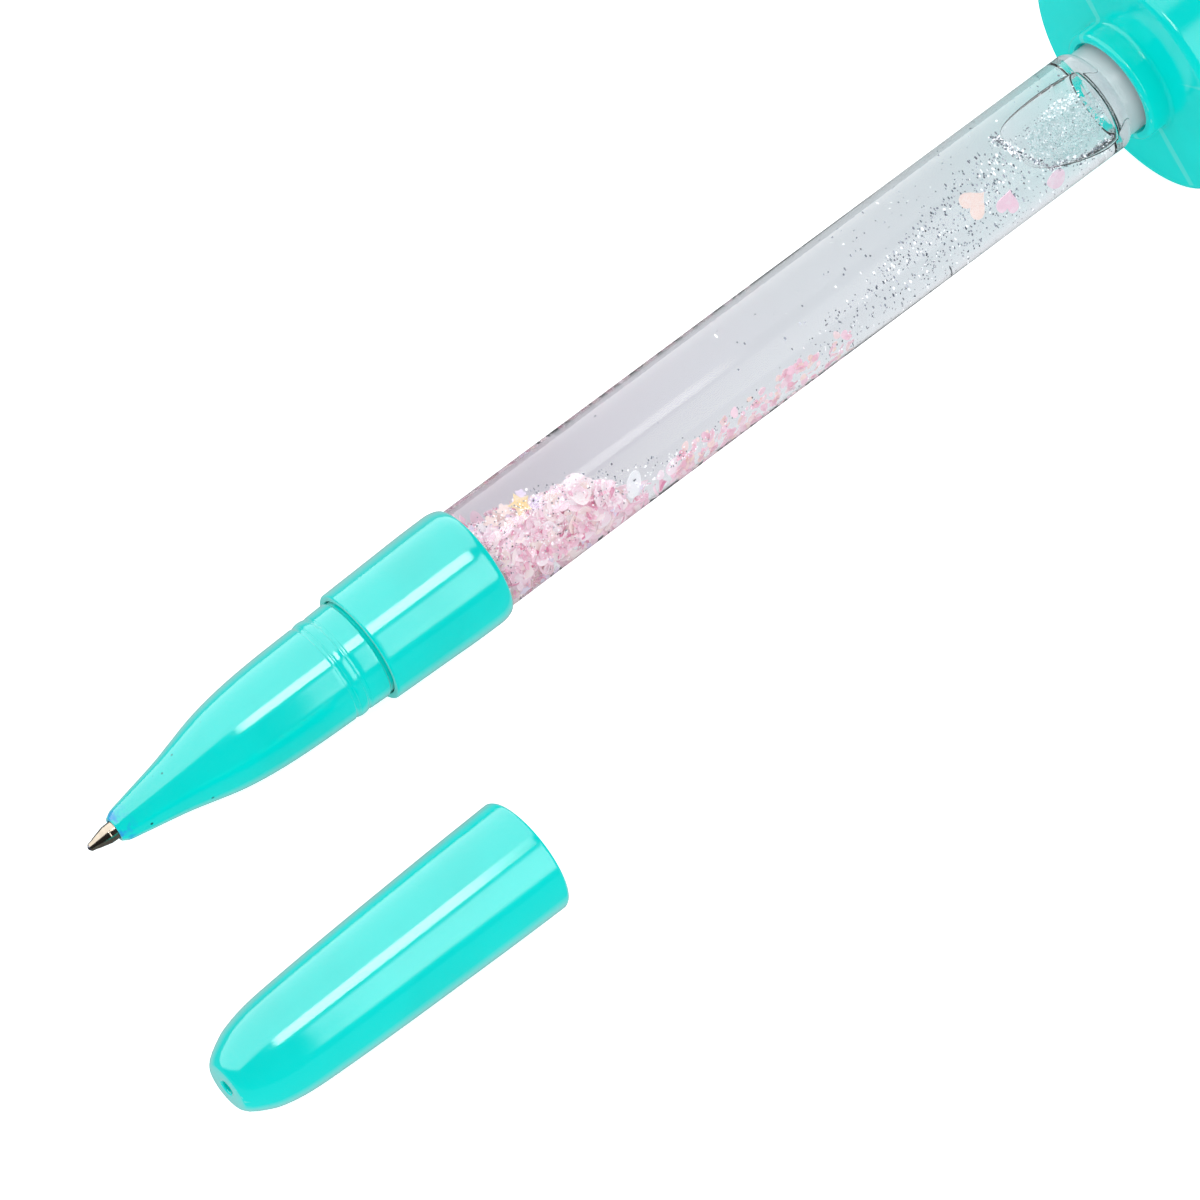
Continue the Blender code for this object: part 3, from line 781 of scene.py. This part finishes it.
def facing_frame(x, turn, radius, dice, tilt, spin=None):
    """The matrix of a flake at that place, facing out from the axis and tilted at random."""
    out = round_pen(turn)
    leaning = out + Vector([dice.uniform(-tilt, tilt) for _ in range(3)])
    quaternion = leaning.normalized().to_track_quat("Z", "X")
    place = Vector((x, 0.0, 0.0)) + out * radius
    angle = dice.uniform(0.0, math.tau) if spin is None else spin
    in_plane = Matrix.Rotation(angle, 4, "Z")
    return Matrix.Translation(place * MM) @ quaternion.to_matrix().to_4x4() @ in_plane


def near_wall(x, across, dice, tilt, spin=None, radius=4.6):
    """The matrix of a flake against the near wall, across millimetres to the side of the axis."""
    lean = max(-0.95, min(0.95, across / (radius + 0.4)))
    return facing_frame(x, math.degrees(math.asin(lean)), radius, dice, tilt, spin)


def heap_edge(x):
    """How far sideways of the axis the settled heap starts, at that distance along the pen."""
    stations = [(49.0, -3.2), (52.4, -2.4), (62.0, -0.9), (66.0, 1.6), (70.5, 3.2), (77.0, 4.3),
                (100.0, 4.75)]
    for (x0, e0), (x1, e1) in zip(stations, stations[1:]):
        if x <= x1:
            return e0 + (e1 - e0) * (x - x0) / (x1 - x0)
    return stations[-1][1]


def heap_place(dice, last_x, margin=0.3):
    """A random place in the heap: (x, turn, radius)."""
    while True:
        x = dice.uniform(LIQUID_FRONT_X + margin, last_x)
        sideways = dice.uniform(-FLAKE_REACH, FLAKE_REACH)
        towards = dice.uniform(-FLAKE_REACH, FLAKE_REACH)
        radius = math.hypot(sideways, towards)
        if radius < FLAKE_REACH - margin and sideways > heap_edge(x) + margin:
            return x, math.degrees(math.atan2(sideways, towards)), radius


def heap_skin(dice, last_x, margin):
    """A random place of the heap against the near wall: (x, how far sideways of the axis).

    Flakes, whose margin is above 0, keep clear of the gold star and the pearl oval.
    """
    while True:
        x = dice.uniform(LIQUID_FRONT_X + 0.3, last_x)
        across = dice.uniform(-3.5, 4.4)
        nearest = min(math.dist((x, across), shown) for shown in (GOLD_STAR, PEARL_OVAL))
        if across > heap_edge(x) + margin and (margin < 0.0 or nearest > 2.0):
            return x, across


def flakes(name, body, look, slot, *nodes):
    """Turns a bmesh of flakes into a piece of the barrel."""
    bmesh.ops.recalc_face_normals(body, faces=body.faces)
    declare(finished(name, to_mesh(name, body), PEN, [look], 50.0), "barrel", slot, *nodes)


def make_heap():
    """The settled heap at the nose end: petals, curled ribbons, stars and blossoms."""
    dice = random.Random(7)
    pinks = [(0.0, (0.96, 0.66, 0.77)), (0.35, (0.99, 0.78, 0.86)), (0.7, (1.0, 0.88, 0.92)),
             (1.0, (0.99, 0.8, 0.74))]
    petal_look = flake_look("pink_petals", pinks)
    body = bmesh.new()
    for index in range(520):
        x, turn, radius = heap_place(dice, 80.0, 0.4)
        frame_matrix = facing_frame(x, turn, radius, dice, 0.9)
        if index % 3 == 0:
            x, across = heap_skin(dice, 77.0, 0.9)
            frame_matrix = near_wall(x, across, dice, 0.45)
        add_plate(body, petal(dice.uniform(0.5, 1.15)), 0.05, frame_matrix, dice.uniform(-0.2, 0.2))
    for x, across, size in ((62.2, 0.6, 1.75), (56.2, 1.0, 1.3), (53.6, 0.2, 1.1), (64.0, 2.4, 1.2),
                            (59.4, -0.2, 1.0), (72.5, 4.2, 1.0)):
        add_plate(body, petal(size), 0.07, near_wall(x, across, dice, 0.25), 0.05)
    flakes("petal_flakes", body, petal_look, "confetti_pink", "confetti_bed")

    rosy = [(0.0, (0.7, 0.16, 0.32)), (0.3, (0.93, 0.5, 0.64)), (1.0, (0.99, 0.8, 0.87))]
    body = bmesh.new()
    for index in range(330):
        x, turn, radius = heap_place(dice, 79.0, 0.45)
        frame_matrix = facing_frame(x, turn, radius, dice, 1.2)
        if index % 3 == 0:
            x, across = heap_skin(dice, 74.0, 2.0)
            frame_matrix = near_wall(x, across, dice, 0.9)
        add_ribbon(body, dice.uniform(1.2, 3.0), dice.uniform(0.25, 0.5), 0.05, dice.uniform(0.6, 3.0),
                   frame_matrix)
    flakes("ribbon_flakes", body, flake_look("rosy_ribbons", rosy, 0.3), "confetti_pink")

    pale = [(0.0, (0.8, 0.68, 0.9)), (0.35, (0.88, 0.8, 0.95)), (0.6, (0.97, 0.88, 0.76)),
            (0.85, (0.96, 0.74, 0.66)), (1.0, (0.93, 0.93, 0.97))]
    body = bmesh.new()
    for index in range(170):
        x, turn, radius = heap_place(dice, 80.0, 0.3)
        frame_matrix = facing_frame(x, turn, radius, dice, 0.6)
        outline = star(dice.uniform(0.5, 1.0)) if index % 2 else blossom(dice.uniform(0.4, 0.75))
        add_plate(body, outline, 0.06, frame_matrix)
    for x, across, size in ((60.1, 2.7, 1.25), (65.0, 4.1, 1.2), (54.6, 1.9, 0.9), (58.2, -0.9, 0.8)):
        add_plate(body, star(size), 0.07, near_wall(x, across, dice, 0.12))
    for x, across, size in ((54.7, -2.3, 0.75), (52.8, -2.1, 0.8), (57.2, -2.6, 0.6), (55.6, -0.7, 0.7)):
        add_plate(body, blossom(size), 0.07, near_wall(x, across, dice, 0.12))
    flakes("star_flakes", body, flake_look("pale_stars", pale, 0.3), "sequin_pearl")


def make_trail():
    """Loose flakes that lie thinly along the lower wall beyond the heap."""
    dice = random.Random(19)
    body = bmesh.new()
    for _ in range(230):
        x = 73.0 + 24.0 * dice.random() ** 1.3
        turn = dice.uniform(44.0, 112.0)
        frame_matrix = facing_frame(x, turn, FLAKE_REACH - 0.35, dice, 0.5)
        add_plate(body, petal(dice.uniform(0.2, 0.6)), 0.05, frame_matrix, 0.05)
    for x, turn, size in ((88.0, 60.0, 0.9), (91.5, 58.0, 0.8)):
        add_plate(body, heart(size), 0.07, facing_frame(x, turn, FLAKE_REACH - 0.4, dice, 0.3), 0.06)
    stops = [(0.0, (0.93, 0.5, 0.64)), (0.6, (0.96, 0.68, 0.76)), (1.0, (0.97, 0.7, 0.6))]
    flakes("trail_flakes", body, flake_look("trail_pinks", stops), "confetti_pink")


def single(name, outline, colours, slot, node, frame_matrix):
    """One larger sequin with a look of its own."""
    body = bmesh.new()
    add_plate(body, outline, SEQUIN_THICKNESS, frame_matrix, SEQUIN_CUP)
    look = flake_look(name + "_film", [(0.0, colours[0]), (1.0, colours[1])], 0.28, 0.45)
    flakes(name, body, look, slot, node)


def make_sequins():
    """The larger sequins: two lie on the heap, three hang in the liquid beside the bubble's front."""
    dice = random.Random(3)
    gold = ((0.93, 0.62, 0.2), (0.96, 0.72, 0.32))
    pearl = ((0.9, 0.92, 0.95), (0.96, 0.97, 0.98))
    peach = ((0.96, 0.7, 0.62), (0.98, 0.8, 0.73))
    pink = ((0.94, 0.6, 0.72), (0.96, 0.7, 0.8))
    single("gold_star", star(1.3), gold, "sequin_gold", "star_sequin",
           near_wall(*GOLD_STAR, dice, 0.1, 0.4))
    single("pearl_oval", oval(1.5), pearl, "sequin_pearl", "shell_sequin",
           near_wall(*PEARL_OVAL, dice, 0.1, 2.6))
    single("peach_heart_film", heart(1.7), peach, "sequin_peach", "peach_heart",
           near_wall(115.8, 1.3, dice, 0.15, 2.0))
    single("pink_heart_film", heart(1.5), pink, "confetti_pink", "pink_heart",
           near_wall(119.3, 3.3, dice, 0.15, 2.6))
    single("pink_petal_film", petal(1.3), pink, "confetti_pink", "pink_petal",
           near_wall(125.6, 4.2, dice, 0.15, 1.2))


def glitter_place(dice):
    """A random place for a fleck: thick from the middle of the tube up to the bubble."""
    while True:
        x = dice.uniform(LIQUID_FRONT_X + 1.0, PLUG_FACE_X - 0.6)
        crowd = 0.04 + 0.96 * min(1.0, max(0.0, (x - 84.0) / 22.0))
        sideways = dice.uniform(-FLAKE_REACH, FLAKE_REACH)
        towards = dice.uniform(-FLAKE_REACH, FLAKE_REACH)
        radius = math.hypot(sideways, towards)
        slope = 3.2 - 0.11 * max(0.0, x - 78.0)
        if sideways < slope:
            crowd *= 0.12
        in_bubble = x > BUBBLE_FRONT_X - 0.5 and 0.94 * towards + 0.34 * sideways > 1.2
        if radius < FLAKE_REACH - 0.1 and not in_bubble and dice.random() < crowd:
            return x, math.degrees(math.atan2(sideways, towards)), radius


def bubble_edge(dice):
    """A random place along the bubble's blunt end and lower side: (x, across)."""
    line = [(122.6, -3.0), (122.9, -0.8), (125.6, 3.1), (130.5, 4.4), (134.0, 4.5)]
    way = dice.random() ** 1.4 * (len(line) - 1)
    index = min(int(way), len(line) - 2)
    (x0, across0), (x1, across1) = line[index], line[index + 1]
    part = way - index
    return x0 + (x1 - x0) * part - 0.25, across0 + (across1 - across0) * part


def under_bubble(dice, centre, reach):
    """The matrix of a fleck against the bubble's underside, in an oval of that centre and reach."""
    angle = dice.uniform(0.0, math.tau)
    spread = math.sqrt(dice.random())
    x = centre[0] + reach[0] * spread * math.cos(angle)
    across = centre[1] + reach[1] * spread * math.sin(angle)
    height = dice.uniform(1.35, 1.7)
    turn = math.degrees(math.atan2(across, height))
    return facing_frame(x, turn, math.hypot(across, height), dice, 0.5)


def add_fleck(body, dice, sizes, frame_matrix):
    """Adds one fleck of a size drawn between the two sizes."""
    add_plate(body, fleck(dice.uniform(*sizes)), FLECK_THICKNESS, frame_matrix)


def fill_liquid(body, dice, count, sizes, tilt):
    """Flecks that float all through the liquid; each size is drawn before its tilt."""
    for _ in range(count):
        x, turn, radius = glitter_place(dice)
        outline = fleck(dice.uniform(*sizes))
        add_plate(body, outline, FLECK_THICKNESS, facing_frame(x, turn, radius, dice, tilt))


def dust_heap(body, dice, count, sizes, margin):
    """Flecks on the near side of the heap, which stray past its edge if the margin is below 0."""
    for _ in range(count):
        x, across = heap_skin(dice, 84.0, margin)
        add_fleck(body, dice, sizes, near_wall(x, across, dice, 0.4, radius=HEAP_SKIN_RADIUS))


def line_bubble(body, dice, count, sizes, spread, tilt):
    """Flecks gathered along the bubble's edge, spread over (along, across)."""
    for _ in range(count):
        x, across = bubble_edge(dice)
        x += dice.gauss(0.0, spread[0])
        across += dice.gauss(0.0, spread[1])
        add_fleck(body, dice, sizes, near_wall(x, across, dice, tilt))


def back_bubble(body, dice, count, sizes, centre, reach):
    """Flecks that float against the bubble's underside, in an oval patch."""
    for _ in range(count):
        add_fleck(body, dice, sizes, under_bubble(dice, centre, reach))


def make_glitter():
    """Grey flecks through the liquid, white ones among them and a pale patch under the bubble."""
    dice = random.Random(11)
    body = bmesh.new()
    fill_liquid(body, dice, 1150, (0.05, 0.12), 0.5)
    dust_heap(body, dice, 330, (0.05, 0.1), -0.9)
    line_bubble(body, dice, 260, (0.06, 0.14), (0.25, 0.2), 0.9)
    grey = [(0.0, (0.1, 0.11, 0.14)), (0.6, (0.26, 0.28, 0.33)), (1.0, (0.5, 0.52, 0.58))]
    flakes("dark_glitter", body, glitter_look("grey_flecks", grey, 0.3), "ball_steel")

    body = bmesh.new()
    fill_liquid(body, dice, 260, (0.06, 0.15), 0.8)
    dust_heap(body, dice, 420, (0.05, 0.11), -0.4)
    line_bubble(body, dice, 120, (0.08, 0.16), (0.3, 0.25), 0.6)
    back_bubble(body, dice, 110, (0.07, 0.15), (131.4, -1.5), (2.8, 0.8))
    back_bubble(body, dice, 50, (0.07, 0.13), (130.2, 0.8), (5.2, 2.6))
    bright = [(0.0, (0.93, 0.95, 0.97)), (1.0, (1.0, 1.0, 1.0))]
    # The white flecks glow strongly: painted glints.
    flakes("silver_glitter", body, flake_look("glowing_white_flecks", bright, 0.22, glow=0.4), "sequin_pearl")

    body = bmesh.new()
    back_bubble(body, dice, 1300, (0.08, 0.17), (130.2, 0.8), (5.2, 2.7))
    teal = [(0.0, (0.45, 0.62, 0.62)), (0.5, (0.58, 0.76, 0.76)), (1.0, (0.72, 0.84, 0.84))]
    flakes("teal_glitter", body, flake_look("teal_flecks", teal, 0.4), "sequin_pearl")


# -------- topper

def make_topper(look):
    """Cup with a ringed collar round the neck, and the domed shell that closes it."""
    collar_radius = 6.7
    rim = arc((TOPPER_RIM_X + 0.5, 6.2), 0.5, collar_radius - 6.2, 180.0, 90.0)
    fillet = arc((TOPPER_FACE_X - 0.5, collar_radius + 0.5), 0.5, 0.5, 270.0, 360.0, 8)
    edge_size = 0.9
    edge = arc((TOPPER_FACE_X + edge_size, TOPPER_RADIUS - edge_size), edge_size, edge_size, 180.0, 90.0)
    inner_radius = TOPPER_RADIUS - TOPPER_WALL
    floor_x = TOPPER_FACE_X + TOPPER_WALL
    inside = [(TOPPER_SEAM_X, TOPPER_RADIUS), (TOPPER_SEAM_X, inner_radius), (floor_x + 1.4, inner_radius),
              (floor_x, inner_radius - 1.4), (floor_x, 7.0), (NECK_REAR_X, 7.0), (NECK_REAR_X, 5.6),
              (TOPPER_RIM_X + 0.6, 5.6), (TOPPER_RIM_X, 5.75)]
    outline = rim + fillet + edge + inside
    made = turned("topper_cup", rounded(outline, 0.12), look, PEN, 180)
    declare(made, "barrel", "turquoise_plastic", "topper_base")

    start = TOPPER_SEAM_X + 0.25
    inner_height = TOPPER_DOME_HEIGHT - TOPPER_WALL
    inner_radius = TOPPER_RADIUS - 2 * TOPPER_WALL
    outside = arc((start, 0.0), TOPPER_DOME_HEIGHT, TOPPER_RADIUS, 90.0, 0.0, 40)
    inside = arc((start, 0.0), inner_height, inner_radius, 0.0, 90.0, 24)
    outside[-1] = (start + TOPPER_DOME_HEIGHT, 0.0)
    inside[0] = (start + inner_height, 0.0)
    lip_radius = TOPPER_RADIUS - TOPPER_WALL - 0.25
    lip = [(start - 2.0, inner_radius), (start - 2.0, lip_radius), (start, lip_radius)]
    outline = outside[::-1] + lip[::-1] + inside[::-1]
    made = turned("topper_shell", rounded(outline, 0.1), look, PEN, 180)
    declare(made, "barrel", "turquoise_plastic", "topper_dome")


# -------- cap

def make_cap(look):
    """Tapered cap with a dimpled air hole in its closed end and a rounded lip at its mouth."""
    side = smooth([(0.25, 2.95), (0.6, 3.3), (1.7, 3.97), (3.4, 4.72), (6.4, 5.33), (11.0, 5.65),
                   (18.0, 5.94), (25.0, 6.15), (32.0, 6.34), (38.75, CAP_MOUTH_RADIUS)])
    end_face = [(0.12, 0.8), (0.0, 1.0), (0.0, 2.45), (0.07, 2.72)]
    lip = [(CAP_LENGTH, CAP_MOUTH_RADIUS - 0.22), (CAP_LENGTH, 5.88)]
    inside = [(34.6, 5.86), (33.0, 5.74), (25.0, 5.3), (14.5, 4.9), (8.0, 4.45), (3.5, 3.85), (1.5, 2.5),
              (1.4, 0.8)]
    outline = end_face + side + lip + inside
    made = turned("cap_body", rounded(outline, 0.12), look, CAP)
    declare(made, "cap", "turquoise_plastic", "cap_shell")


def dress_inner_nodes():
    """Finer looks for the pieces that stay as packed, inside the nose and the cap."""
    looks = {
        "tip_holder": satin_look("adapter_white", (0.8, 0.8, 0.78), (0.88, 0.88, 0.86), 0.4),
        "ink_tube": satin_look("milky_tube", (0.76, 0.8, 0.82), (0.86, 0.89, 0.9), 0.3),
        "gel_ink": satin_look("gel_blue", (0.01, 0.06, 0.45), (0.03, 0.12, 0.6), 0.25),
        "ink_follower": satin_look("grease_amber", (0.72, 0.68, 0.48), (0.84, 0.82, 0.64), 0.2),
        "cap_inner_sleeve": satin_look("soft_sleeve", (0.66, 0.8, 0.78), (0.78, 0.88, 0.86), 0.5)}
    for name, look in looks.items():
        slots = frame["nodes"][name].data.materials
        slots.clear()
        slots.append(look)


# -------- stage, lights and camera

def matt_floor(shader, colour):
    set_inputs(shader, Base_Color=(*colour, 1.0), Roughness=0.9, Specular_IOR_Level=0.0)


def make_floor():
    """Plain pale floor; it glows a little, so that it stays white round the pen.

    Glossy surfaces mirror it darker, and it looks white through the clear parts.
    """
    half = 3.0
    mesh = bpy.data.meshes.new("floor")
    corners = [(-half, -half, 0.0), (half, -half, 0.0), (half, half, 0.0), (-half, half, 0.0)]
    mesh.from_pydata(corners, [], [(0, 1, 2, 3)])
    floor = bpy.data.objects.new("floor", mesh)
    bpy.context.collection.objects.link(floor)
    floor.location.z = -0.02 * MM
    look, nodes, shader = new_look("pale_floor")
    matt_floor(shader, (0.88, 0.88, 0.89))
    path = add_node(nodes, "LightPath").outputs
    glow = add_node(nodes, "Emission")
    link(range_node(nodes, path["Is Camera Ray"], 0.25, 0.75), glow.inputs["Strength"])
    both = add_node(nodes, "AddShader")
    link(shader.outputs["BSDF"], both.inputs[0])
    link(glow.outputs["Emission"], both.inputs[1])
    seen = both.outputs["Shader"]
    choices = (("Is Glossy Ray", (0.33, 0.33, 0.33)), ("Is Transmission Ray", (0.98, 0.98, 1.0)))
    for ray, colour in choices:
        other = add_node(nodes, "BsdfPrincipled")
        matt_floor(other, colour)
        seen = mix_shaders(nodes, path[ray], seen, other.outputs["BSDF"])
    link(seen, nodes["Material Output"].inputs["Surface"])
    mesh.materials.append(look)


def make_world():
    """Even white surroundings, dim where glossy surfaces mirror them but not through clear parts."""
    world = bpy.data.worlds.new("studio")
    bpy.context.scene.world = world
    world.use_nodes = True
    nodes = world.node_tree.nodes
    set_inputs(nodes["Background"], Color=(0.97, 0.985, 1.0, 1.0), Strength=0.93)
    bright = nodes["Background"].outputs["Background"]
    dim = add_node(nodes, "Background", Strength=0.06).outputs["Background"]
    path = add_node(nodes, "LightPath").outputs
    seen = mix_shaders(nodes, path["Is Glossy Ray"], bright, dim)
    seen = mix_shaders(nodes, path["Is Transmission Ray"], seen, bright)
    link(seen, nodes["World Output"].inputs["Surface"])


def softbox(name, turns, leans, radiance, edge):
    """A rectangular lamp far from the pen, seen from its middle over those turns and leans.

    A lean is the angle from the plane across the pen towards its topper. edge is the share of
    the lamp's width over which its light fades.
    """
    distance = 0.7
    middle = PEN @ Vector((PEN_MIDDLE_X * MM, 0.0, 0.0))
    lean = math.radians(sum(leans) / 2)
    way = round_pen(sum(turns) / 2) * math.cos(lean) + Vector((math.sin(lean), 0.0, 0.0))
    way = PEN.to_3x3() @ way
    along = PEN.to_3x3() @ Vector((1.0, 0.0, 0.0))
    side = along.cross(way).normalized()
    up = way.cross(side)
    lamp = bpy.data.lights.new(name, "AREA")
    lamp.shape = "RECTANGLE"
    lamp.size = 2.0 * distance * math.tan(math.radians(turns[1] - turns[0]) / 2)
    lamp.size_y = 2.0 * distance * math.tan(math.radians(leans[1] - leans[0]) / 2)
    lamp.energy = 4.0 * radiance * lamp.size * lamp.size_y
    lamp.use_nodes = True
    nodes = lamp.node_tree.nodes
    parts = add_node(nodes, "SeparateXYZ")
    link(add_node(nodes, "NewGeometry").outputs["Parametric"], parts.inputs["Vector"])
    fades = []
    for axis_name in ("X", "Y"):
        fold = add_node(nodes, "Math")
        fold.operation = "PINGPONG"
        fold.inputs[1].default_value = 0.5
        link(parts.outputs[axis_name], fold.inputs[0])
        fade = add_node(nodes, "MapRange", From_Max=edge)
        fade.interpolation_type = "SMOOTHSTEP"
        link(fold.outputs["Value"], fade.inputs["Value"])
        fades.append(fade.outputs["Result"])
    strength = math_node(nodes, "MULTIPLY", *fades)
    link(strength, nodes["Emission"].inputs["Strength"])
    made = bpy.data.objects.new(name, lamp)
    bpy.context.collection.objects.link(made)
    frame_matrix = Matrix((side, up, way)).transposed().to_4x4()
    made.matrix_world = Matrix.Translation(middle + way * distance) @ frame_matrix
    made.visible_diffuse = False
    made.visible_camera = False
    made.visible_transmission = False


def make_lights():
    """A big soft window on the far side, a narrow strip overhead and a soft strip on the near side."""
    softbox("far_window", (-134.0, -18.0), (-62.0, 62.0), 2.7, 0.12)
    softbox("overhead_strip", (-22.0, -3.0), (-8.0, 18.0), 11.5, 0.12)
    softbox("near_strip", (0.0, 53.0), (5.0, 52.0), 3.6, 0.15)


def make_camera():
    """The camera looks down along a line that passes beside the collar."""
    direction = camera_line()
    pen_start = PEN.translation
    target = Vector((pen_start.x + CAMERA_TARGET[0] * MM, pen_start.y + CAMERA_TARGET[1] * MM, 0.0))
    data = bpy.data.cameras.new("camera")
    data.sensor_width = 36.0
    data.lens = CAMERA_LENS
    data.clip_start = 0.01
    data.clip_end = 50.0
    made = bpy.data.objects.new("camera", data)
    bpy.context.collection.objects.link(made)
    made.location = target - direction * CAMERA_DISTANCE
    made.rotation_euler = direction.to_track_quat("-Z", "Y").to_euler()
    bpy.context.scene.camera = made
    bpy.context.scene.view_settings.view_transform = "Standard"


# -------- assembly

make_camera()
make_world()
make_floor()
make_lights()
turquoise = moulded_turquoise("turquoise_plastic_gloss")
make_nose(moulded_turquoise("turquoise_plastic_inked", inked=True))
make_collar(turquoise)
make_metal_tip()
make_ball()
make_tube()
make_liquid()
make_bubble()
make_plugs()
make_heap()
make_trail()
make_sequins()
make_glitter()
make_topper(moulded_turquoise("turquoise_plastic_topper", shine=0.5, rim=0.0))
make_cap(turquoise)
dress_inner_nodes()

bpy.context.view_layer.update()
